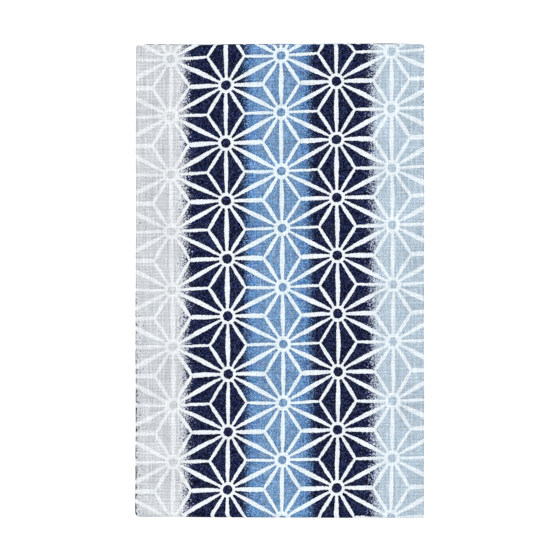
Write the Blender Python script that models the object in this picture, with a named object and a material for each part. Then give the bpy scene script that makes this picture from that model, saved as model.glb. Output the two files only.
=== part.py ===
# A tenugui towel: one length of plain-weave cotton with cut ends and no hems, folded to lie flat.
# It is first folded in three along its length, which makes a strip of three plies.
# The strip is then folded back and forth across its length into five panels, one on the other.
# The model is the strip. It is made flat, as a slab with rounded sides, and is then folded.
# Its frame: +X is the right side of the face, +Y its upper end, and +Z points up, out of the cloth.
# The underside lies on z = 0, and the origin is the middle of the towel's outline.

import math
from collections import namedtuple

import bmesh
import bpy

MM = 0.001

# The cut cloth and the way it is folded
CLOTH_WIDTH = 330 * MM
PLIES_IN_STRIP = 3
PANELS = 5
FOLDED_LENGTH = 180.6 * MM

# The strip's thickness, three plies of about 0.4 mm, and the air between two panels
LAYER = 1.2 * MM
AIR = 0.35 * MM

# The strip's long sides are folds of the cloth, so they are round. Its ends are cut, and nearly square.
SIDE_ROUNDING = 0.5 * MM
SIDE_STEPS = 3
CUT_ROUNDING = 0.2 * MM

# How far the top panel rises and dips. It stands highest at the folded ends, and the rest is soft waves.
UNEVENNESS = 0.5 * MM
END_LOFT_SHARE = 0.6
END_LOFT_REACH = 14 * MM
WAVE_ACROSS, WAVE_ACROSS_SHIFT = 105 * MM, 12 * MM
WAVE_ALONG, WAVE_ALONG_SHIFT = 140 * MM, -9 * MM

# How finely the strip is divided: across, along, round each fold and over each rounded corner
COLUMNS = 10
ROW_STEP = 24 * MM
FOLD_STEPS = 8
CORNER_SHARES = (0.1, 0.35, 0.68, 1.0)

# One row for each end of the panels, in the order in which the strip runs from the underside to the face.
# side: -1 is the lower end and +1 the upper one. past: how far it reaches past half the folded length.
# skew: how much further its right corner reaches than its middle. left, right: how far the strip's
# sides stand out past half its width there. left_round, right_round: the corners' radii.
# All columns but side are in millimetres.
End = namedtuple("End", "side past skew left right left_round right_round")
ENDS = (
    End(side=-1, past=-0.60, skew=0.10, left=-0.35, right=-0.40, left_round=0.8, right_round=0.9),
    End(side=+1, past=-0.35, skew=0.05, left=-0.30, right=-0.45, left_round=2.2, right_round=2.6),
    End(side=-1, past=-0.45, skew=0.15, left=-0.10, right=-0.35, left_round=2.4, right_round=1.6),
    End(side=+1, past=0.15, skew=0.12, left=-0.25, right=-0.50, left_round=3.2, right_round=5.5),
    End(side=-1, past=0.05, skew=0.23, left=0.20, right=0.00, left_round=1.9, right_round=0.6),
    End(side=+1, past=-0.25, skew=0.17, left=-0.05, right=0.00, left_round=1.0, right_round=1.15),
)

# The dyed cotton as one middle colour, matt
DYE_COLOUR = (0.17, 0.24, 0.46, 1.0)
DYE_ROUGHNESS = 0.9

STRIP_WIDTH = CLOTH_WIDTH / PLIES_IN_STRIP
PITCH = LAYER + AIR
FOLD_RADIUS = PITCH / 2
FOLD_REACH = FOLD_RADIUS + LAYER / 2
FOLD_RUN = math.pi * FOLD_RADIUS
STACK_HEIGHT = LAYER + (PANELS - 1) * PITCH


def reach(end):
    """How far an end of the panels lies from the middle of the towel."""
    return FOLDED_LENGTH / 2 + end.past * MM


def straight_limit(index):
    """Where along Y the flat part of a panel stops at that end, which leaves room for a fold."""
    end = ENDS[index]
    is_cut = index in (0, PANELS)
    return end.side * (reach(end) - (0 if is_cut else FOLD_REACH))


def panel_run(panel):
    """The length of a panel's flat part."""
    return abs(straight_limit(panel + 1) - straight_limit(panel))


def panel_start(panel):
    """How far along the flat strip a panel begins."""
    return sum(panel_run(lower) + FOLD_RUN for lower in range(panel))


def mix(first, second, share):
    return first + (second - first) * share


def strip_place(along):
    """The strip's middle line at that length: y, z, its heading, the ends it lies between, and its share."""
    panel = max(k for k in range(PANELS) if panel_start(k) <= max(along, 0))
    distance = along - panel_start(panel)
    run = panel_run(panel)
    level = LAYER / 2 + panel * PITCH
    way = ENDS[panel + 1].side
    if distance <= run or panel == PANELS - 1:
        y = straight_limit(panel) + way * distance
        heading = 0 if way > 0 else math.pi
        return y, level, heading, ENDS[panel], ENDS[panel + 1], distance / run
    turned = (distance - run) / FOLD_RADIUS
    heading = turned if way > 0 else math.pi - turned
    y = straight_limit(panel + 1) + way * FOLD_RADIUS * math.sin(turned)
    z = level + FOLD_RADIUS * (1 - math.cos(turned))
    return y, z, heading, ENDS[panel + 1], ENDS[panel + 1], 1.0


def corner_inset(end, radius, y):
    """How far a rounded corner draws the side in at y."""
    from_tip = max(reach(end) - end.side * y, 0)
    if from_tip >= radius:
        return 0
    return radius - math.sqrt(radius**2 - (radius - from_tip) ** 2)


def side_place(y, first, second, share, which):
    """The x of the strip's left or right side at y, between two ends of a panel."""
    past = mix(getattr(first, which), getattr(second, which), share) * MM
    nearer = first if share < 0.5 else second
    radius = getattr(nearer, which + "_round") * MM
    return STRIP_WIDTH / 2 + past - corner_inset(nearer, radius, y)


def lift(x, y, z):
    """How far the soft stack rises or dips there: not at all in the lowest panel, and most on the face."""
    weight = min(max((z - LAYER) / (STACK_HEIGHT - LAYER), 0), 1)
    from_end = FOLDED_LENGTH / 2 - abs(y)
    loft = math.exp(-((from_end / END_LOFT_REACH) ** 2))
    across = math.cos(math.tau * (x + WAVE_ACROSS_SHIFT) / WAVE_ACROSS)
    along = math.cos(math.tau * (y + WAVE_ALONG_SHIFT) / WAVE_ALONG)
    return UNEVENNESS * weight * mix(across * along, loft, END_LOFT_SHARE)


def fold(point):
    """Takes a point of the flat slab (x across, y along, z through it) to its place in the folded towel."""
    y, z, heading, first, second, share = strip_place(point.y)
    y -= point.z * math.sin(heading)
    z += point.z * math.cos(heading)
    left = -side_place(y, first, second, share, "left")
    right = side_place(y, first, second, share, "right")
    x = mix(left, right, point.x / STRIP_WIDTH + 0.5)
    skew = mix(first.side * first.skew, second.side * second.skew, share) * MM
    y += skew * x / (STRIP_WIDTH / 2)
    return x, y, z + lift(x, y, z)


def rows_along():
    """Where the flat slab is divided along its length, so that it can bend and narrow there."""
    rows = []
    for panel in range(PANELS):
        start, run = panel_start(panel), panel_run(panel)
        inner = max(1, round(run / ROW_STEP))
        rows += [start + run * k / inner for k in range(inner + 1)]
        for index, from_start in ((panel, True), (panel + 1, False)):
            end = ENDS[index]
            taken = 0 if index in (0, PANELS) else FOLD_REACH
            widest = max(end.left_round, end.right_round) * MM - taken
            depths = [widest * share for share in CORNER_SHARES] if widest > 0 else []
            rows += [start + depth if from_start else start + run - depth for depth in depths]
        if panel < PANELS - 1:
            rows += [start + run + FOLD_RUN * k / FOLD_STEPS for k in range(1, FOLD_STEPS)]
    return sorted(rows)


def flat_strip(length):
    """The strip before it is folded: a slab with round sides and nearly square ends, divided into a grid."""
    bm = bmesh.new()
    bmesh.ops.create_cube(bm, size=1)
    bmesh.ops.scale(bm, vec=(STRIP_WIDTH, length, LAYER), verts=bm.verts)
    bmesh.ops.translate(bm, vec=(0, length / 2, 0), verts=bm.verts)
    sides = [e for e in bm.edges if abs(e.verts[0].co.y - e.verts[1].co.y) > length / 2]
    bmesh.ops.bevel(
        bm, geom=sides, offset=SIDE_ROUNDING, segments=SIDE_STEPS, profile=0.5, affect="EDGES", material=-1
    )
    caps = [f for f in bm.faces if abs(f.normal.y) > 0.9]
    rims = {e for f in caps for e in f.edges}
    bmesh.ops.bevel(
        bm, geom=list(rims), offset=CUT_ROUNDING, segments=1, profile=0.5, affect="EDGES", material=-1
    )
    for row in rows_along():
        if CUT_ROUNDING < row < length - CUT_ROUNDING:
            cut(bm, (0, row, 0), (0, 1, 0))
    for column in range(1, COLUMNS):
        cut(bm, ((column / COLUMNS - 0.5) * STRIP_WIDTH, 0, 0), (1, 0, 0))
    return bm


def cut(bm, place, normal):
    """Divides the whole mesh along a plane and keeps both sides."""
    bmesh.ops.bisect_plane(bm, geom=bm.verts[:] + bm.edges[:] + bm.faces[:], plane_co=place, plane_no=normal)


def folded_towel():
    """The strip folded into its panels, with the middle of its outline on the origin."""
    length = panel_start(PANELS - 1) + panel_run(PANELS - 1)
    bm = flat_strip(length)
    for vertex in bm.verts:
        vertex.co = fold(vertex.co.copy())
    middle = [(min(v.co[k] for v in bm.verts) + max(v.co[k] for v in bm.verts)) / 2 for k in (0, 1)]
    bmesh.ops.translate(bm, vec=(-middle[0], -middle[1], 0), verts=bm.verts)
    mesh = bpy.data.meshes.new("folded_cloth")
    bm.to_mesh(mesh)
    bm.free()
    mesh.shade_smooth()
    mesh.set_sharp_from_angle(angle=math.radians(50))
    return mesh


def dyed_cotton():
    material = bpy.data.materials.new("dyed_cotton")
    material.use_nodes = True
    shader = material.node_tree.nodes["Principled BSDF"]
    shader.inputs["Base Color"].default_value = DYE_COLOUR
    shader.inputs["Roughness"].default_value = DYE_ROUGHNESS
    shader.inputs["Metallic"].default_value = 0.0
    return material


for old in list(bpy.data.objects):
    bpy.data.objects.remove(old, do_unlink=True)

collection = bpy.data.collections.new("tenugui_towel")
bpy.context.scene.collection.children.link(collection)

cloth = bpy.data.objects.new("folded_cloth", folded_towel())
cloth.data.materials.append(dyed_cotton())
collection.objects.link(cloth)
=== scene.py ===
# A tenugui towel: one length of plain-weave cotton with cut ends and no hems, folded to lie flat.
# Its dyes go right through the cloth: white hemp-leaf stars on bands of grey, navy, blue and light blue.
# +X is the right side of the face, +Y its upper end, and +Z points up, out of the cloth.

import math
from collections import namedtuple

import bmesh
import bpy
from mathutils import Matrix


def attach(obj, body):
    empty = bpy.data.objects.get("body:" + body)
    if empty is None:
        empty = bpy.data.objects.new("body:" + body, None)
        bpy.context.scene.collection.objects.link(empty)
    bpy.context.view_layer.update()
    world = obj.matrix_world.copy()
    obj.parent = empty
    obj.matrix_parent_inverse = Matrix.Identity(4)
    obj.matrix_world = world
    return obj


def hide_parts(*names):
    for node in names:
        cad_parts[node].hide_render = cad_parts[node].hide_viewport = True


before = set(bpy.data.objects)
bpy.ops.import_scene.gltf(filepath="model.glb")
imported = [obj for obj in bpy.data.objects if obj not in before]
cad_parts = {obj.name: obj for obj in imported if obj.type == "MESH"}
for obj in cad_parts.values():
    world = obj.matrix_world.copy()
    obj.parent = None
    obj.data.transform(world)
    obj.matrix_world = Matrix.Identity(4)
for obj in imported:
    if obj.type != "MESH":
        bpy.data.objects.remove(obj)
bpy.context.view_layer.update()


# The folded cloth
# A length of plain-weave cotton, 33 by 90 cm, with a selvedge along each side and a cut at each end.
# It is folded in three along its length, then back and forth across its length into five panels.
# It is made flat, with its pattern on it, and is then folded into the strip and the strip into the towel.

MM = 0.001

# The strip of three plies, and how it is folded into panels
PLIES_IN_STRIP = 3
STRIP_WIDTH = 330 * MM / PLIES_IN_STRIP
PANELS = 5
FOLDED_LENGTH = 180.6 * MM
LAYER = 1.2 * MM
AIR = 0.35 * MM
PITCH = LAYER + AIR
FOLD_RADIUS = PITCH / 2
FOLD_REACH = FOLD_RADIUS + LAYER / 2
FOLD_RUN = math.pi * FOLD_RADIUS
STACK_HEIGHT = LAYER + (PANELS - 1) * PITCH

# The cloth itself, the radii of its two long folds, and how far its selvedges stop short of the strip's
# sides: the outer one under the strip, and the other inside it
THICKNESS = 0.36 * MM
PLY_RISE = (LAYER - THICKNESS) / 2
LEFT_FOLD = PLY_RISE
RIGHT_FOLD = PLY_RISE / 2
UNDER_SHORT = 0.7 * MM
INSIDE_SHORT = 1.3 * MM

# The cloth's width runs from the selvedge under the strip, round its left side, over its face and
# round its right side to the selvedge inside it. These are the lengths of those five stretches, and into
# how many columns each of them is divided.
LEFT_TURN_X = -STRIP_WIDTH / 2 + THICKNESS / 2 + LEFT_FOLD
RIGHT_TURN_X = STRIP_WIDTH / 2 - THICKNESS / 2 - RIGHT_FOLD
UNDER_RUN = STRIP_WIDTH / 2 - UNDER_SHORT - LEFT_TURN_X
LEFT_RUN = math.pi * LEFT_FOLD
FACE_RUN = RIGHT_TURN_X - LEFT_TURN_X
RIGHT_RUN = math.pi * RIGHT_FOLD
INSIDE_RUN = RIGHT_TURN_X + STRIP_WIDTH / 2 - INSIDE_SHORT
STRETCHES = (UNDER_RUN, LEFT_RUN, FACE_RUN, RIGHT_RUN, INSIDE_RUN)
STRETCH_STEPS = (24, 8, 28, 6, 24)

# The ends of the panels, in the order in which the strip runs from the underside to the face.
# side: -1 is the lower end and +1 the upper one. past: how far it reaches past half the folded length.
# skew: how much further its right corner reaches than its middle. left, right: how far the strip's
# sides stand out past half its width there. left_round, right_round: the corners' radii.
# All columns but side are in millimetres.
End = namedtuple("End", "side past skew left right left_round right_round")
ENDS = (
    End(side=-1, past=-0.60, skew=0.10, left=-0.35, right=-0.40, left_round=0.8, right_round=0.9),
    End(side=+1, past=-0.35, skew=0.05, left=-0.30, right=-0.45, left_round=2.2, right_round=2.6),
    End(side=-1, past=-0.45, skew=0.15, left=-0.10, right=-0.35, left_round=2.4, right_round=1.6),
    End(side=+1, past=0.25, skew=0.20, left=-0.25, right=-0.50, left_round=3.2, right_round=5.5),
    End(side=-1, past=0.35, skew=0.25, left=0.20, right=0.06, left_round=1.9, right_round=0.6),
    End(side=+1, past=-0.25, skew=0.17, left=-0.05, right=0.13, left_round=1.0, right_round=1.15),
)

# How finely the cloth is divided along a panel, round a fold and over a rounded corner, and from what
# angle on an edge stays sharp, in degrees
PANEL_STEPS = 44
FOLD_STEPS = 12
CORNER_SHARES = (0.05, 0.14, 0.28, 0.47, 0.72, 1.0)
SHARP_ANGLE = 50

# How the pressed stack still rises and dips
UNEVENNESS = 0.5 * MM
END_LOFT_SHARE = 0.6
END_LOFT_REACH = 14 * MM
WAVE_ACROSS, WAVE_ACROSS_SHIFT = 105 * MM, 12 * MM
WAVE_ALONG, WAVE_ALONG_SHIFT = 140 * MM, -9 * MM
RIPPLE, RIPPLE_ACROSS, RIPPLE_ALONG = 0.07 * MM, 37 * MM, 46 * MM

# How its folded sides stray from a straight line, in a long wave and a short one. Each side's waves begin
# at a turn of their own.
STRAY, LONG_STRAY, SHORT_STRAY = 0.09 * MM, 71 * MM, 19 * MM
SHORT_STRAY_SHARE = 0.4
LEFT_STRAY_TURN, RIGHT_STRAY_TURN = 0.4, 2.9


def reach(end):
    """How far an end of the panels lies from the middle of the towel."""
    return FOLDED_LENGTH / 2 + end.past * MM


def straight_limit(index):
    """Where along Y the flat part of a panel stops at that end, which leaves room for a fold."""
    end = ENDS[index]
    is_cut = index in (0, PANELS)
    return end.side * (reach(end) - (0 if is_cut else FOLD_REACH))


def panel_run(panel):
    """The length of a panel's flat part."""
    return abs(straight_limit(panel + 1) - straight_limit(panel))


def panel_start(panel):
    """How far along the cloth a panel begins."""
    return sum(panel_run(lower) + FOLD_RUN for lower in range(panel))


def mix(first, second, share):
    """The value at that share of the way from the first to the second."""
    return first + (second - first) * share


def ply_place(across, proud):
    """Folds the cloth in three: a place across it, and how proud of its middle, to the strip's x and height.

    It passes the five stretches in turn.
    """
    if across <= UNDER_RUN:
        return STRIP_WIDTH / 2 - UNDER_SHORT - across, -PLY_RISE - proud
    across -= UNDER_RUN
    if across <= LEFT_RUN:
        turned = across / LEFT_FOLD
        bend = LEFT_FOLD + proud
        return LEFT_TURN_X - bend * math.sin(turned), -bend * math.cos(turned)
    across -= LEFT_RUN
    if across <= FACE_RUN:
        return LEFT_TURN_X + across, PLY_RISE + proud
    across -= FACE_RUN
    if across <= RIGHT_RUN:
        turned = across / RIGHT_FOLD
        bend = RIGHT_FOLD + proud
        return RIGHT_TURN_X + bend * math.sin(turned), RIGHT_FOLD + bend * math.cos(turned)
    return RIGHT_TURN_X - (across - RIGHT_RUN), -proud


def strip_place(along):
    """The strip's middle line at that length: y, z, its heading, the ends it lies between, and its share."""
    panel = max(k for k in range(PANELS) if panel_start(k) <= max(along, 0))
    distance = along - panel_start(panel)
    run = panel_run(panel)
    level = LAYER / 2 + panel * PITCH
    way = ENDS[panel + 1].side
    if distance <= run or panel == PANELS - 1:
        y = straight_limit(panel) + way * distance
        heading = 0 if way > 0 else math.pi
        return y, level, heading, ENDS[panel], ENDS[panel + 1], distance / run
    turned = (distance - run) / FOLD_RADIUS
    heading = turned if way > 0 else math.pi - turned
    y = straight_limit(panel + 1) + way * FOLD_RADIUS * math.sin(turned)
    z = level + FOLD_RADIUS * (1 - math.cos(turned))
    return y, z, heading, ENDS[panel + 1], ENDS[panel + 1], 1.0


def corner_inset(end, radius, y):
    """How far a rounded corner draws the side in at y."""
    from_tip = max(reach(end) - end.side * y, 0)
    if from_tip >= radius:
        return 0
    return radius - math.sqrt(radius**2 - (radius - from_tip) ** 2)


def side_place(y, first, second, share, which):
    """The x of the strip's left or right side at y, between two ends of a panel."""
    past = mix(getattr(first, which), getattr(second, which), share) * MM
    nearer = first if share < 0.5 else second
    radius = getattr(nearer, which + "_round") * MM
    return STRIP_WIDTH / 2 + past - corner_inset(nearer, radius, y)


def stray(along, turn):
    """How far a folded side wanders in and out at that length."""
    slow = math.sin(math.tau * along / LONG_STRAY + turn)
    quick = math.sin(math.tau * along / SHORT_STRAY + 2 * turn)
    return STRAY * mix(slow, quick, SHORT_STRAY_SHARE)


def lift(x, y, z):
    """How far the soft stack rises or dips there: not at all in the lowest panel, and most on the face."""
    weight = min(max((z - LAYER) / (STACK_HEIGHT - LAYER), 0), 1)
    loft = math.exp(-(((FOLDED_LENGTH / 2 - abs(y)) / END_LOFT_REACH) ** 2))
    across = math.cos(math.tau * (x + WAVE_ACROSS_SHIFT) / WAVE_ACROSS)
    along = math.cos(math.tau * (y + WAVE_ALONG_SHIFT) / WAVE_ALONG)
    ripple = math.sin(math.tau * (x / RIPPLE_ACROSS + y / RIPPLE_ALONG))
    ripple *= math.cos(math.tau * (y / RIPPLE_ACROSS - x / RIPPLE_ALONG))
    return weight * (UNEVENNESS * mix(across * along, loft, END_LOFT_SHARE) + RIPPLE * ripple)


def fold(point):
    """Takes a point of the flat cloth (across, along, proud of its middle) to its place in the towel."""
    strip_x, height = ply_place(point.x, point.z)
    y, z, heading, first, second, share = strip_place(point.y)
    y -= height * math.sin(heading)
    z += height * math.cos(heading)
    left = -side_place(y, first, second, share, "left") - stray(point.y, LEFT_STRAY_TURN)
    right = side_place(y, first, second, share, "right") + stray(point.y, RIGHT_STRAY_TURN)
    x = mix(left, right, strip_x / STRIP_WIDTH + 0.5)
    skew = mix(first.side * first.skew, second.side * second.skew, share) * MM
    y += skew * x / (STRIP_WIDTH / 2)
    return x, y, z + lift(x, y, z)


def columns_across():
    """Where the flat cloth is divided across its width: evenly, and more finely in its two long folds."""
    places = [0.0]
    for run, steps in zip(STRETCHES, STRETCH_STEPS):
        start = places[-1]
        places += [start + run * k / steps for k in range(1, steps + 1)]
    return places


def rows_along():
    """Where the flat cloth is divided along its length, more finely at its folds and rounded corners."""
    rows = set()
    for panel in range(PANELS):
        start, run = panel_start(panel), panel_run(panel)
        rows |= {start + run * k / PANEL_STEPS for k in range(PANEL_STEPS + 1)}
        for index, from_start in ((panel, True), (panel + 1, False)):
            end = ENDS[index]
            taken = 0 if index in (0, PANELS) else FOLD_REACH
            widest = max(end.left_round, end.right_round) * MM - taken
            depths = [widest * share for share in CORNER_SHARES] if widest > 0 else []
            rows |= {start + depth if from_start else start + run - depth for depth in depths}
        if panel < PANELS - 1:
            rows |= {start + run + FOLD_RUN * k / FOLD_STEPS for k in range(1, FOLD_STEPS)}
    return sorted(rows)


def flat_cloth(columns, rows):
    """The flat cloth, divided at those places. Its z is how proud of the cloth's middle a point stands."""
    bm = bmesh.new()
    bmesh.ops.create_grid(bm, x_segments=len(columns) - 1, y_segments=len(rows) - 1, size=0.5)
    for vertex in bm.verts:
        column = round((vertex.co.x + 0.5) * (len(columns) - 1))
        row = round((vertex.co.y + 0.5) * (len(rows) - 1))
        vertex.co = (columns[column], rows[row], 0)
    bmesh.ops.solidify(bm, geom=bm.faces[:], thickness=THICKNESS)
    lowest = min(v.co.z for v in bm.verts)
    bmesh.ops.translate(bm, vec=(0, 0, -lowest - THICKNESS / 2), verts=bm.verts)
    bmesh.ops.recalc_face_normals(bm, faces=bm.faces)
    return bm


cloth_columns = columns_across()
cloth_rows = rows_along()
FACE_MIDDLE = (UNDER_RUN + LEFT_RUN - LEFT_TURN_X, panel_start(PANELS - 1) - straight_limit(PANELS - 1))

bm = flat_cloth(cloth_columns, cloth_rows)
bm.loops.layers.uv.new("cloth")
bm.loops.layers.uv.new("OFBake")
cloth_map, bake_map = bm.loops.layers.uv["cloth"], bm.loops.layers.uv["OFBake"]

# The pattern is laid out on the flat cloth, in metres from the middle of the towel's face
for face in bm.faces:
    for loop in face.loops:
        loop[cloth_map].uv = (loop.vert.co.x - FACE_MIDDLE[0], loop.vert.co.y - FACE_MIDDLE[1])

# A second map shares out a square sheet among the parts of the cloth, for baking. What shows has most of
# it. A row names a part by its side, its stretches across the cloth and its zones along it, where the
# panels are even zones and the folds between them odd ones, and gives its edges on the sheet.
SHEET = 1024
Part = namedtuple("Part", "side stretches zones left right low high")
FACE_AND_ITS_FOLDS = Part("outer", (1, 2, 3), (7, 8), 2, 622, 2, 1018)
UNDERSIDE = Part("outer", (0,), (0,), 628, 944, 2, 527)
END_FOLDS = (
    Part("outer", (0,), (1,), 628, 1022, 531, 545),
    Part("outer", (2,), (3,), 628, 1022, 547, 561),
    Part("outer", (0,), (5,), 628, 1022, 563, 577),
)
SIDE_FOLDS = (
    Part("outer", (1,), (0, 1), 947, 955, 2, 527),
    Part("outer", (1,), (2, 3), 956.4, 964.4, 2, 527),
    Part("outer", (1,), (4, 5), 965.8, 973.8, 2, 527),
    Part("outer", (1,), (6,), 975.2, 983.2, 2, 527),
    Part("outer", (3,), (0, 1), 984.6, 992.6, 2, 527),
    Part("outer", (3,), (2, 3), 994, 1002, 2, 527),
    Part("outer", (3,), (4, 5), 1003.4, 1011.4, 2, 527),
    Part("outer", (3,), (6,), 1012.8, 1020.8, 2, 527),
)
RIMS = (
    Part("first cut", None, None, 628, 1022, 580, 583),
    Part("last cut", None, None, 628, 1022, 585, 588),
    Part("first selvedge", None, None, 628, 1022, 590, 593),
    Part("last selvedge", None, None, 628, 1022, 595, 598),
)
ALL_STRETCHES, ALL_ZONES = tuple(range(len(STRETCHES))), tuple(range(2 * PANELS - 1))
HIDDEN = (
    Part("outer", ALL_STRETCHES, ALL_ZONES, 628, 824, 602, 1020),
    Part("inner", ALL_STRETCHES, ALL_ZONES, 827, 1022, 602, 1020),
)
PARTS = (FACE_AND_ITS_FOLDS, UNDERSIDE, *END_FOLDS, *SIDE_FOLDS, *RIMS, *HIDDEN)

# A face is on a side of the cloth where its normal's share in that direction is more than FACING
FACING = 0.9

stretch_ends = [sum(STRETCHES[:k]) for k in range(len(STRETCHES) + 1)]
zone_ends = []
for panel in range(PANELS):
    zone_ends += [panel_start(panel), panel_start(panel) + panel_run(panel)]


def side_of(face, middle):
    """Which side or rim of the flat cloth a face belongs to."""
    if abs(face.normal.z) > FACING:
        return "outer" if face.normal.z > 0 else "inner"
    if abs(face.normal.y) > FACING:
        return "first cut" if middle.y < zone_ends[-1] / 2 else "last cut"
    return "first selvedge" if middle.x < stretch_ends[-1] / 2 else "last selvedge"


def part_of(face, middle):
    """The part of the cloth that a face belongs to."""
    side = side_of(face, middle)
    stretch = sum(middle.x > end for end in stretch_ends[1:-1])
    zone = sum(middle.y > end for end in zone_ends[1:-1])
    return next(
        part
        for part in PARTS
        if part.side == side and (part.zones is None or (stretch in part.stretches and zone in part.zones))
    )


def sheet_place(part, place):
    """Where a point of the flat cloth lies on the sheet, from 0 to 1 each way."""
    through = place.z / THICKNESS + 0.5
    if part.zones is None:
        along_rim = place.x / stretch_ends[-1] if "cut" in part.side else place.y / zone_ends[-1]
        shares = along_rim, through
    else:
        first, last = stretch_ends[part.stretches[0]], stretch_ends[part.stretches[-1] + 1]
        low, high = zone_ends[part.zones[0]], zone_ends[part.zones[-1] + 1]
        shares = (place.x - first) / (last - first), (place.y - low) / (high - low)
    return mix(part.left, part.right, shares[0]) / SHEET, mix(part.low, part.high, shares[1]) / SHEET


for face in bm.faces:
    part = part_of(face, face.calc_center_median())
    for loop in face.loops:
        loop[bake_map].uv = sheet_place(part, loop.vert.co)

for vertex in bm.verts:
    vertex.co = fold(vertex.co.copy())
middle = [(min(v.co[k] for v in bm.verts) + max(v.co[k] for v in bm.verts)) / 2 for k in (0, 1)]
bmesh.ops.translate(bm, vec=(-middle[0], -middle[1], 0), verts=bm.verts)

mesh = bpy.data.meshes.new("folded_tenugui")
bm.to_mesh(mesh)
bm.free()
mesh.shade_smooth()
mesh.set_sharp_from_angle(angle=math.radians(SHARP_ANGLE))
towel = bpy.data.objects.new("folded_tenugui", mesh)
bpy.context.scene.collection.objects.link(towel)

# The stars of the pattern, in millimetres. STAR_X and STAR_Y are the blue band's middle star on the face,
# and COLUMN and ROW how far the stars are apart. To the right, each column's stars stand higher by CLIMB,
# and further apart by the share FAN.
STAR_X, STAR_Y = 0.47, -2.25
COLUMN, ROW = 20.84, 22.12
CLIMB, FAN = 0.56, 0.00165

# The columns lean to the left by LEAN for each millimetre up, and near the top they stand further apart,
# by nearly the share SPREAD. At mid-height they bow to the right by BOW, the right ones more, and along
# their length they sway by SWAY. All but the lean are waves, so they stay small over the whole cloth, and
# the bands of dye lean with the stars.
LEAN = 0.0046
SPREAD, SPREAD_LENGTH = 0.0085, 600
BOW, BOW_GROWTH, BOW_LENGTH = 0.526, 0.0192, 400
SWAY, SWAY_LENGTH = 0.18, 130

# A stencil cut by hand isn't even. The stars of every second column stand lower, by twice UNEVEN_COLUMN,
# and by turns above and below their places there, by UNEVEN_STAR. All lines wobble and vary in width.
UNEVEN_STAR, UNEVEN_COLUMN = 0.21, 0.13
WOBBLE, WOBBLE_SIZE = 0.5, 9
UNEVEN_LINE, UNEVEN_LINE_SIZE = 0.5, 14

# Half the widths of the white lines, in millimetres: at a star, and how much more midway to the next one.
# In the pale bands each of their edges lies further out, by up to WIDER_IN_PALE.
UPRIGHT, UPRIGHT_SWELL = 0.385, 0.51
SLANT, SLANT_SWELL = 0.235, 0.70
WIDER_IN_PALE = 0.045

# A spoke runs from a star to the middle of three, where half its width is SPOKE. It swells most at
# SPOKE_WIDEST of the way back to the star, and the level ones of the navy stars widen all the way in.
# STAR_ASIDE is how far the next stars stand from a slanting spoke's line, and ROUNDING how far two shares
# may be apart and still be the same.
SPOKE, SPOKE_WIDEST = 0.405, 0.38
SLANT_SPOKE_SWELL, LEVEL_SPOKE_SWELL, NAVY_SPOKE_SWELL = 0.27, 0.15, 0.40
STAR_ASIDE = 11.88
ROUNDING = 0.0001

# The radii of the white disc at a star's middle, and of the dot of dye in a navy star and in a paler one
STAR_DISC, NAVY_DOT, PALE_DOT = 3.02, 1.88, 1.66

# The bands of dye across the cloth, in millimetres from where the grey one starts on the face. They lean
# to the left by BAND_LEAN for each millimetre up, and a run of bands is as wide as six columns of stars.
GREY_START = -54.85
GREY_ENDS, BLUE_STARTS, BLUE_ENDS, LIGHT_STARTS, LIGHT_ENDS = 18.7, 42.8, 65.6, 90.5, 110.4
BANDS_RUN = 125.0
BAND_LEAN = 0.0045

# The colours as they leave the dye bath. The pale, the thin and the deep ones stand along the borders of
# the bands, and the undyed cotton takes a slight tint from the dye around it.
GREY, PALE_GREY = (0.493, 0.515, 0.540), (0.52, 0.54, 0.56)
NAVY, THIN_NAVY = (0.0053, 0.0077, 0.0262), (0.12, 0.13, 0.23)
DEEP_BLUE, BLUE = (0.100, 0.202, 0.392), (0.1377, 0.238, 0.394)
LIGHT, PALE_LIGHT = (0.369, 0.450, 0.525), (0.44, 0.51, 0.57)
UNDYED_IN_GREY, UNDYED_IN_NAVY = (0.645, 0.674, 0.694), (0.688, 0.729, 0.775)
UNDYED_IN_BLUE, UNDYED_IN_LIGHT = (0.63, 0.715, 0.765), (0.635, 0.694, 0.743)

# The colours across a run of bands. A row gives a place in millimetres, and the colour that is reached
# there. The colour stays the same before the first row's place and after the last one's.
GROUND = (
    (0, GREY),
    (GREY_ENDS - 5, GREY),
    (GREY_ENDS - 1.2, PALE_GREY),
    (GREY_ENDS - 0.6, PALE_GREY),
    (GREY_ENDS + 0.25, THIN_NAVY),
    (GREY_ENDS + 1.1, NAVY),
    (BLUE_STARTS - 1.9, NAVY),
    (BLUE_STARTS + 1.7, DEEP_BLUE),
    (BLUE_STARTS + 6, BLUE),
    (BLUE_ENDS - 6, BLUE),
    (BLUE_ENDS - 1.7, DEEP_BLUE),
    (BLUE_ENDS + 1.9, NAVY),
    (LIGHT_STARTS - 1.1, NAVY),
    (LIGHT_STARTS - 0.1, THIN_NAVY),
    (LIGHT_STARTS + 0.5, PALE_LIGHT),
    (LIGHT_STARTS + 4, LIGHT),
    (LIGHT_ENDS - 0.3, LIGHT),
    (LIGHT_ENDS + 0.5, NAVY),
    (BANDS_RUN - 0.2, NAVY),
)
UNDYED = (
    (0, UNDYED_IN_GREY),
    (GREY_ENDS - 2, UNDYED_IN_GREY),
    (GREY_ENDS + 2, UNDYED_IN_NAVY),
    (BLUE_STARTS - 2, UNDYED_IN_NAVY),
    (BLUE_STARTS + 2, UNDYED_IN_BLUE),
    (BLUE_ENDS - 2, UNDYED_IN_BLUE),
    (BLUE_ENDS + 2, UNDYED_IN_NAVY),
    (LIGHT_STARTS - 2, UNDYED_IN_NAVY),
    (LIGHT_STARTS + 2, UNDYED_IN_LIGHT),
    (LIGHT_ENDS - 2, UNDYED_IN_LIGHT),
    (LIGHT_ENDS + 2, UNDYED_IN_NAVY),
)

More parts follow.
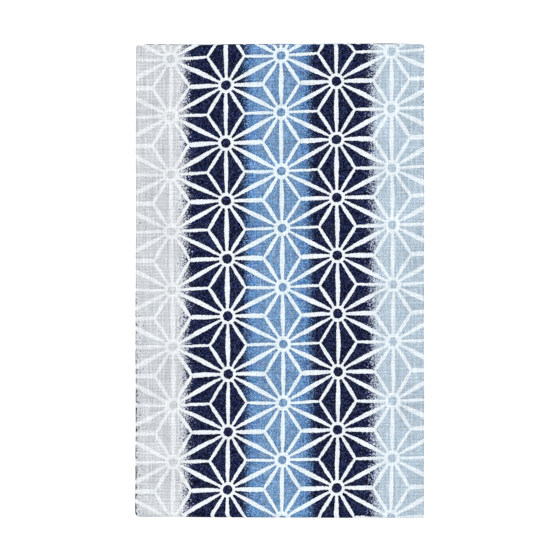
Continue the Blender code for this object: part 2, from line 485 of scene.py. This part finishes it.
# How the bands differ, in rows like those. tone: how uneven their threads and flecks are. gathered: by what
# share the dye is darker right beside a white line. edge: how soft that line's edge is, in millimetres.
Ways = namedtuple("Ways", "tone gathered edge")
GREY_WAYS = Ways(tone=0.088, gathered=0.05, edge=0.35)
NAVY_WAYS = Ways(tone=1.0, gathered=0.45, edge=0.06)
BLUE_WAYS = Ways(tone=0.31, gathered=0.13, edge=0.20)
LIGHT_WAYS = Ways(tone=0.122, gathered=0.05, edge=0.35)
WAYS = (
    (0, GREY_WAYS),
    (GREY_ENDS - 1, GREY_WAYS),
    (GREY_ENDS + 1, NAVY_WAYS),
    (BLUE_STARTS - 2, NAVY_WAYS),
    (BLUE_STARTS + 2, BLUE_WAYS),
    (BLUE_ENDS - 2, BLUE_WAYS),
    (BLUE_ENDS + 2, NAVY_WAYS),
    (LIGHT_STARTS - 1, NAVY_WAYS),
    (LIGHT_STARTS + 1, LIGHT_WAYS),
    (LIGHT_ENDS - 1, LIGHT_WAYS),
    (LIGHT_ENDS + 1, NAVY_WAYS),
)

# How far specks of dye are thrown over the borders, in millimetres, which the rows hold in each of a
# colour's three parts. The borders also drift a little, and are calm beside the strip's folded sides.
FAR_THROWN, NEAR_THROWN = (3.2, 3.2, 3.2), (1.8, 1.8, 1.8)
THROWN = (
    (0, FAR_THROWN),
    (GREY_ENDS + 8, FAR_THROWN),
    (BLUE_STARTS - 8, NEAR_THROWN),
    (BLUE_ENDS + 8, NEAR_THROWN),
    (LIGHT_STARTS - 8, FAR_THROWN),
)
DRIFT, DRIFT_SIZE = 1.2, 5
SIDE, CALM_REACH = STRIP_WIDTH / 2 / MM, 3

# The distance of the threads and the size of the flecks that their fibres make. The threads sway a little
# from straight lines.
THREAD, FLECK = 0.6, 0.3
THREAD_SWAY, THREAD_SWAY_SIZE = 0.8, 11

# What makes the threads lighter and darker, and by how much: each one's own tone, a painted shade from the
# height of its round back, lighter at its crown and darker in the gaps as light from above would make it,
# its place in a pair, its slubs, which are SLUB_LENGTH long, and wide patches of the cloth
OWN_TONE = 0.9
PAINTED_BACK_SHADE, UNSHADED_BACK_HEIGHT = 0.8, 0.6
WARP_PAIRS, WEFT_PAIRS = 0.15, 0.32
WARP_SLUBS, WEFT_SLUBS, SLUB_LENGTH = 2.85, 1.6, 14
PATCHES, PATCH_SIZE = 0.9, 18

# How strongly that tone, and the flecks, change the colour of dyed and of undyed cloth. A band's own
# unevenness counts in full for the flecks, and hardly for the threads.
STREAKS, STREAKS_EVENED, UNDYED_STREAKS = 0.23, 0.1, 0.11
FLECKS, UNDYED_FLECKS = 3.8, 0.25

# The white lines' edges are ragged, more so in the dark bands, and the dye gathers beside them
RAGGED, RAGGED_SIZE, RAGGED_BY_FLECK = 0.28, 1.1, 0.14
RAGGED_LEAST = 0.4
GATHER_REACH = 0.9

# How far the dyes lean in hue and in strength, and how much of their undyed colour bare fibres keep
HUE_LEAN, STRENGTH_LEAN, LEAN_SIZE = 0.05, 0.55, 2.2
BARE_FIBRES = 0.055

# Where other random numbers are drawn, so that no two kinds go together: so many columns further on, all
# in one row for the warp, and all in one column for the weft. ELSEWHERE does the same for clouds.
BARE_DRAW, SPECK_DRAWS = 900, (400, 1300)
WARP_ROW, WEFT_COLUMN = 3, 5
ELSEWHERE = (531, 277, 0)

# The threads' relief, in which the warp stands out a little where it is on top, and the matt surface
RELIEF, RELIEF_STRENGTH, OVER_RELIEF = 0.08 * MM, 0.6, 0.3
ROUGHNESS, SHINE = 0.88, 0.02
SHEEN, SHEEN_ROUGHNESS = 0.02, 0.5


class Amount:
    """A number that changes over the cloth. It holds a node's socket, and sums with it add Math nodes."""

    def __init__(self, socket):
        self.socket = socket

    def to(self, operation, *others):
        """What a Math node makes of this amount and the others."""
        node = self.socket.id_data.nodes.new("ShaderNodeMath")
        node.operation = operation
        for slot, value in zip(node.inputs, (self, *others)):
            feed(slot, value)
        return Amount(node.outputs[0])

    def __add__(self, other):
        return self.to("ADD", other)

    def __sub__(self, other):
        return self.to("SUBTRACT", other)

    def __mul__(self, other):
        return self.to("MULTIPLY", other)

    def __truediv__(self, other):
        return self.to("DIVIDE", other)

    def __rsub__(self, other):
        return self * -1 + other


def feed(slot, value):
    """Gives a node's slot an amount, another node's output or a plain value."""
    value = value.socket if isinstance(value, Amount) else value
    if isinstance(value, bpy.types.NodeSocket):
        slot.id_data.links.new(value, slot)
    else:
        slot.default_value = value


def new_material(name):
    """A material with node colours, and its shader."""
    material = bpy.data.materials.new(name)
    material.use_nodes = True
    return material, material.node_tree.nodes["Principled BSDF"]


def point_at(x, y):
    """A point made of two numbers, of which at least one is an amount."""
    amount = x if isinstance(x, Amount) else y
    node = amount.socket.id_data.nodes.new("ShaderNodeCombineXYZ")
    feed(node.inputs[0], x)
    feed(node.inputs[1], y)
    return node.outputs[0]


def elsewhere(point):
    """The point moved far away, for clouds unlike those at the point itself."""
    node = point.id_data.nodes.new("ShaderNodeVectorMath")
    node.operation = "ADD"
    node.inputs[1].default_value = ELSEWHERE
    feed(node.inputs[0], point)
    return node.outputs[0]


def clouds(point, size, detail=1.0):
    """Soft noise about nought, from -0.5 to 0.5, in clouds of about that size."""
    node = point.id_data.nodes.new("ShaderNodeTexNoise")
    node.noise_dimensions = "2D"
    node.inputs["Scale"].default_value = 1 / size
    node.inputs["Detail"].default_value = detail
    feed(node.inputs["Vector"], point)
    return Amount(node.outputs["Fac"]) - 0.5


def chance(x, y):
    """A random number from 0 to 1 for each whole x and y."""
    point = point_at(x, y)
    node = point.id_data.nodes.new("ShaderNodeTexWhiteNoise")
    node.noise_dimensions = "2D"
    feed(node.inputs["Vector"], point)
    return Amount(node.outputs["Value"])


def as_share(amount):
    """The amount, but never below 0 or above 1."""
    return amount.to("MAXIMUM", 0).to("MINIMUM", 1)


def blended(share, first, second, way="MIX"):
    """Two colours mixed by a share, or multiplied."""
    node = first.id_data.nodes.new("ShaderNodeMix")
    node.data_type = "RGBA"
    node.blend_type = way

    # a Mix node's seventh and eighth slots are those for its colours
    share_slot, first_slot, second_slot = node.inputs[0], node.inputs[6], node.inputs[7]
    feed(share_slot, share)
    feed(first_slot, first)
    feed(second_slot, second)
    return node.outputs[2]


def shaded(colour, value):
    """A colour multiplied by an amount."""
    grey = colour.id_data.nodes.new("ShaderNodeCombineColor")
    for slot in grey.inputs:
        feed(slot, value)
    return blended(1.0, colour, grey.outputs[0], "MULTIPLY")


def run_share(across):
    """How much of a run of bands lies before that place, from 0 to 1."""
    return (across / BANDS_RUN).to("FRACT")


def across_bands(share, rows):
    """The colour at that share of a run of bands, from rows of millimetres and colour."""
    node = share.socket.id_data.nodes.new("ShaderNodeValToRGB")
    elements = node.color_ramp.elements
    elements.remove(elements[-1])
    for k, (millimetres, colour) in enumerate(rows):
        element = elements[0] if k == 0 else elements.new(millimetres / BANDS_RUN)
        element.position = millimetres / BANDS_RUN
        element.color = (*colour, 1)
    feed(node.inputs[0], share)
    return node.outputs[0]


def cloth_place(tree):
    """Where a point lies on the flat cloth, in millimetres from the middle of the face: x and y."""
    place = tree.nodes.new("ShaderNodeUVMap")
    place.uv_map = "cloth"
    parts = tree.nodes.new("ShaderNodeSeparateXYZ")
    feed(parts.inputs[0], place.outputs[0])
    return Amount(parts.outputs[0]) / MM, Amount(parts.outputs[1]) / MM


def star_place(x, y):
    """The column and the row of stars that a point lies in, as numbers that are whole at a star."""
    point = point_at(x, y)
    wobble_x = clouds(point, WOBBLE_SIZE) * WOBBLE
    wobble_y = clouds(elsewhere(point), WOBBLE_SIZE) * WOBBLE
    bow = (y * (math.tau / BOW_LENGTH)).to("COSINE") * BOW * (x * BOW_GROWTH + 1)
    sway = (y * (math.tau / SWAY_LENGTH)).to("SINE") * SWAY
    spread = (y * (math.tau / SPREAD_LENGTH)).to("SINE") * SPREAD
    from_star = x - STAR_X - (bow - sway) + y * LEAN
    column = (from_star + wobble_x) / ((spread + 1) * COLUMN)

    # the height in rows, which is whole at the stars of every second column, and half a row off at the rest
    climb = column * CLIMB + STAR_Y
    height = (y + wobble_y - climb) / ((column * FAN + 1) * ROW)
    every_second_star = (height * math.pi).to("COSINE")
    every_second_column = (column * math.pi).to("COSINE")
    uneven = (every_second_column + 1) * (UNEVEN_STAR / ROW / 2)
    height = height + every_second_star * uneven + every_second_column * (UNEVEN_COLUMN / ROW)
    return column, height - column * 0.5


def star_lines(x, y):
    """How far inside a white line a point lies, in millimetres. Outside the lines it is less than nought."""
    column, row = star_place(x, y)
    unevenness = clouds(point_at(x, y), UNEVEN_LINE_SIZE) * UNEVEN_LINE + 1

    # its three shares in the triangle of stars round it: 1 at one star, and 0 on the line between the others
    right, up = column.to("FRACT"), row.to("FRACT")
    far = (right + up).to("GREATER_THAN", 1)
    level_share, upper_share = (far - right).to("ABSOLUTE"), (far - up).to("ABSOLUTE")
    lower_share = 1 - level_share - upper_share

    def line(share, others, triangle_height, at_star, swell):
        """How far inside the line between two stars. midway is 1 half-way between them, and 0 at both."""
        midway = (others[0] * others[1] * 4).to("POWER", 2)
        return (midway * swell + at_star) * unevenness - share * triangle_height

    slant_height = COLUMN * ROW / math.hypot(COLUMN, ROW / 2)
    upright = line(level_share, (upper_share, lower_share), COLUMN, UPRIGHT, UPRIGHT_SWELL)
    rising = line(upper_share, (level_share, lower_share), slant_height, SLANT, SLANT_SWELL)
    falling = line(lower_share, (level_share, upper_share), slant_height, SLANT, SLANT_SWELL)
    level_column = column.to("FLOOR") + 1 - far
    spoke = spoke_line((level_share, upper_share, lower_share), level_column, unevenness)
    disc, dot = disc_and_dot(column, row)
    inside = upright.to("MAXIMUM", rising).to("MAXIMUM", falling).to("MAXIMUM", spoke).to("MAXIMUM", disc)
    return inside.to("MINIMUM", dot)


def spoke_line(shares, level_column, unevenness):
    """How far inside a spoke, which runs from a star to the middle of the triangle, a point lies."""
    level_share, upper_share, lower_share = shares
    most = level_share.to("MAXIMUM", upper_share).to("MAXIMUM", lower_share)
    least = level_share.to("MINIMUM", upper_share).to("MINIMUM", lower_share)
    between = 1 - most - least
    is_level = level_share.to("COMPARE", most, ROUNDING)
    star_aside = is_level * (ROW / 2 - STAR_ASIDE) + STAR_ASIDE

    # to_star is 1 at the star and 0 at the middle, where each of the shares is a third
    to_star = (most - 1 / 3) * 1.5
    from_widest = (to_star - SPOKE_WIDEST) / SPOKE_WIDEST
    bulge = 1 - from_widest.to("ABSOLUTE").to("POWER", 2)
    swell = bulge * (SLANT_SPOKE_SWELL - is_level * (SLANT_SPOKE_SWELL - LEVEL_SPOKE_SWELL))

    # the navy stars stand in the odd columns
    widening = (1 - to_star) * NAVY_SPOKE_SWELL
    swell = swell + is_odd(level_column) * is_level * widening
    return (swell + SPOKE) * unevenness - (between - least) * star_aside


def is_odd(number):
    """1 for an odd number and 0 for an even one."""
    return number.to("MODULO", 2).to("ABSOLUTE")


def disc_and_dot(column, row):
    """How far inside the white disc at the nearest star a point lies, and how far outside its dot of dye."""
    nearest = column.to("ROUND")
    aside = column - nearest
    above = row + aside * 0.5
    above = above - above.to("ROUND")
    aside, above = aside * COLUMN, above * ROW
    away = (aside * aside + above * above).to("SQRT")
    dot = is_odd(nearest) * (NAVY_DOT - PALE_DOT) + PALE_DOT
    return STAR_DISC - away, away - dot


# Numbers for one point of the weave: how far across the threads of the warp and of the weft it lies, in
# threads, and which ones they are. over is 1 where the warp is on top, and dome how high the point stands
# on the upper thread's round back.
Weave = namedtuple("Weave", "warp weft warp_number weft_number over dome fleck_column fleck_row")


def woven(x, y):
    """The point's place in the plain weave, and the fleck that it lies in."""
    sway = clouds(point_at(x, y), THREAD_SWAY_SIZE) * THREAD_SWAY
    warp, weft = (x + sway) / THREAD, (y + sway) / THREAD
    warp_number, weft_number = warp.to("FLOOR"), weft.to("FLOOR")
    over = is_odd(warp_number + weft_number)
    warp_crown = (warp.to("FRACT") * math.pi).to("SINE")
    weft_crown = (weft.to("FRACT") * math.pi).to("SINE")
    dome = warp_crown.to("SQRT") * weft_crown.to("SQRT")
    fleck_column = (warp * (THREAD / FLECK)).to("FLOOR")
    fleck_row = (weft * (THREAD / FLECK)).to("FLOOR")
    return Weave(warp, weft, warp_number, weft_number, over, dome, fleck_column, fleck_row)


def band_share(x, y, weave):
    """The share of the run of bands that a point takes its dye from. Specks are thrown over the borders."""
    across = x - GREY_START + y * BAND_LEAN
    thrown_up_to = Amount(across_bands(run_share(across), THROWN))
    first, second = (chance(weave.fleck_column + draw, weave.fleck_row) for draw in SPECK_DRAWS)
    drift = clouds(point_at(x, y), DRIFT_SIZE, detail=2.0) * DRIFT
    from_side = (x.to("ABSOLUTE") - SIDE).to("ABSOLUTE")
    calm = (from_side / CALM_REACH).to("MINIMUM", 1)
    return run_share(across + ((first + second - 1) * thrown_up_to + drift) * calm)


def thread_tone_and_painted_shade(x, y, weave):
    """How much lighter or darker the upper thread is than the middling tone, about nought, with painted
    shade on its round back.
    """
    warp_tone, weft_tone = chance(weave.warp_number, WARP_ROW), chance(WEFT_COLUMN, weave.weft_number)
    upper_tone = warp_tone * weave.over + weft_tone * (1 - weave.over)
    own = (upper_tone - 0.5) * OWN_TONE
    # painted shade: the upper thread's crown lighter and the gaps between threads darker, as light from
    # above would make them
    painted_back_shade = (weave.dome - UNSHADED_BACK_HEIGHT) * PAINTED_BACK_SHADE
    warp_slubs = clouds(point_at(x / THREAD, y / SLUB_LENGTH), 1) * WARP_SLUBS
    weft_slubs = clouds(point_at(x / SLUB_LENGTH, y / THREAD), 1) * WEFT_SLUBS
    warp_pairs = (weave.warp * math.pi).to("COSINE") * WARP_PAIRS
    weft_pairs = (weave.weft * math.pi).to("COSINE") * WEFT_PAIRS
    patches = clouds(point_at(x, y), PATCH_SIZE, detail=2.0) * PATCHES
    return own + painted_back_shade + (warp_slubs + weft_slubs) + (warp_pairs + weft_pairs) + patches


def leaning(colour, point):
    """The dye where it leans here and there to green or violet, and is stronger or weaker."""
    node = colour.id_data.nodes.new("ShaderNodeHueSaturation")
    feed(node.inputs["Hue"], clouds(point, LEAN_SIZE, detail=2.0) * HUE_LEAN + 0.5)
    feed(node.inputs["Saturation"], clouds(elsewhere(point), LEAN_SIZE, detail=2.0) * STRENGTH_LEAN + 1)
    feed(node.inputs["Color"], colour)
    return node.outputs[0]


def dyed_cotton():
    """The cloth's material, from its dyes and white lines down to the tone of its threads."""
    material, shader = new_material("dyed_cotton")
    tree = material.node_tree
    x, y = cloth_place(tree)
    point = point_at(x, y)
    weave = woven(x, y)
    fleck = chance(weave.fleck_column, weave.fleck_row) - 0.5
    share = band_share(x, y, weave)
    ground, undyed = across_bands(share, GROUND), across_bands(share, UNDYED)
    split = tree.nodes.new("ShaderNodeSeparateColor")
    feed(split.inputs[0], across_bands(share, WAYS))
    ways = Ways(*(Amount(part) for part in split.outputs))

    # the white lines, and the darker dye along them
    ragged = clouds(point, RAGGED_SIZE) * RAGGED + fleck * RAGGED_BY_FLECK
    ragged = ragged * (ways.tone * (1 - RAGGED_LEAST) + RAGGED_LEAST)
    wider = (1 - ways.tone) * WIDER_IN_PALE
    inside = star_lines(x, y) + wider + ragged
    white = as_share(inside / ways.edge + 0.5)
    beside = as_share(inside / GATHER_REACH + 1)
    ground = shaded(ground, 1 - beside * beside * ways.gathered)

    # the changes of the dye, and the fibres that have hardly taken it
    bare = (chance(weave.fleck_column + BARE_DRAW, weave.fleck_row) - 0.5).to("MAXIMUM", 0)
    ground = blended(bare * bare * (ways.tone * BARE_FIBRES), leaning(ground, point), undyed)
    colour = blended(white, ground, undyed)

    # the tone of each thread and of its flecks, with the painted shade of the threads' round backs
    streaks = ways.tone.to("POWER", STREAKS_EVENED) * STREAKS
    streaks = streaks + white * (UNDYED_STREAKS - streaks)
    flecks = ways.tone * FLECKS
    flecks = flecks + white * (UNDYED_FLECKS - flecks)
    shade = (thread_tone_and_painted_shade(x, y, weave) * streaks + fleck * flecks).to("EXPONENT")
    feed(shader.inputs["Base Color"], shaded(colour, shade))

    # the threads' relief, and the matt surface
    bump = tree.nodes.new("ShaderNodeBump")
    bump.inputs["Strength"].default_value = RELIEF_STRENGTH
    bump.inputs["Distance"].default_value = RELIEF
    feed(bump.inputs["Height"], weave.dome + weave.over * OVER_RELIEF)
    feed(shader.inputs["Normal"], bump.outputs[0])
    shader.inputs["Roughness"].default_value = ROUGHNESS
    shader.inputs["Specular IOR Level"].default_value = SHINE
    shader.inputs["Sheen Weight"].default_value = SHEEN
    shader.inputs["Sheen Roughness"].default_value = SHEEN_ROUGHNESS
    return material


towel.data.materials.append(dyed_cotton())
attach(towel, "root")
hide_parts("folded_cloth")


# The surface under the towel
# A wide, plain, nearly white board, which the towel lies on. It is set down a little below the towel, so
# that the two don't touch.

BOARD = 6.0
BOARD_DROP = 0.05 * MM
BOARD_COLOUR = (0.94, 0.94, 0.94, 1)
BOARD_ROUGHNESS = 0.9

bm = bmesh.new()
bmesh.ops.create_grid(bm, x_segments=1, y_segments=1, size=BOARD / 2)
bmesh.ops.translate(bm, vec=(0, 0, -BOARD_DROP), verts=bm.verts)
board_mesh = bpy.data.meshes.new("pale_board")
bm.to_mesh(board_mesh)
bm.free()
board = bpy.data.objects.new("pale_board", board_mesh)
bpy.context.scene.collection.objects.link(board)
material, shader = new_material("pale_board")
shader.inputs["Base Color"].default_value = BOARD_COLOUR
shader.inputs["Roughness"].default_value = BOARD_ROUGHNESS
shader.inputs["Specular IOR Level"].default_value = 0.0
board.data.materials.append(material)


# The light
# One soft light straight above, as wide as OVERHEAD_WIDTH in degrees, and an even glow from all round.

OVERHEAD = 0.90
OVERHEAD_WIDTH = 8
GLOW = 0.40

lamp = bpy.data.lights.new("overhead", "SUN")
lamp.energy = OVERHEAD * math.pi
lamp.angle = math.radians(OVERHEAD_WIDTH)
lamp_object = bpy.data.objects.new("overhead", lamp)
lamp_object.location = (0, 0, 1)
bpy.context.scene.collection.objects.link(lamp_object)

world = bpy.data.worlds.new("glow")
world.use_nodes = True
world.node_tree.nodes["Background"].inputs[0].default_value = (1, 1, 1, 1)
world.node_tree.nodes["Background"].inputs[1].default_value = GLOW
bpy.context.scene.world = world


# The camera
# It looks straight down on the face, with the towel's long side up. VIEW_WIDTH is how much of the face's
# level the picture takes in, with its middle at VIEW_X and VIEW_Y.

CAMERA_HEIGHT = 1.2
VIEW_WIDTH = 213.8 * MM
VIEW_X, VIEW_Y = 0.08 * MM, 0.25 * MM
FILM_WIDTH = 36

camera = bpy.data.cameras.new("camera")
camera.sensor_width = FILM_WIDTH
camera.lens = camera.sensor_width * (CAMERA_HEIGHT - STACK_HEIGHT) / VIEW_WIDTH
camera_object = bpy.data.objects.new("camera", camera)
camera_object.location = (VIEW_X, VIEW_Y, CAMERA_HEIGHT)
bpy.context.scene.collection.objects.link(camera_object)
bpy.context.scene.camera = camera_object
bpy.context.scene.view_settings.view_transform = "Standard"
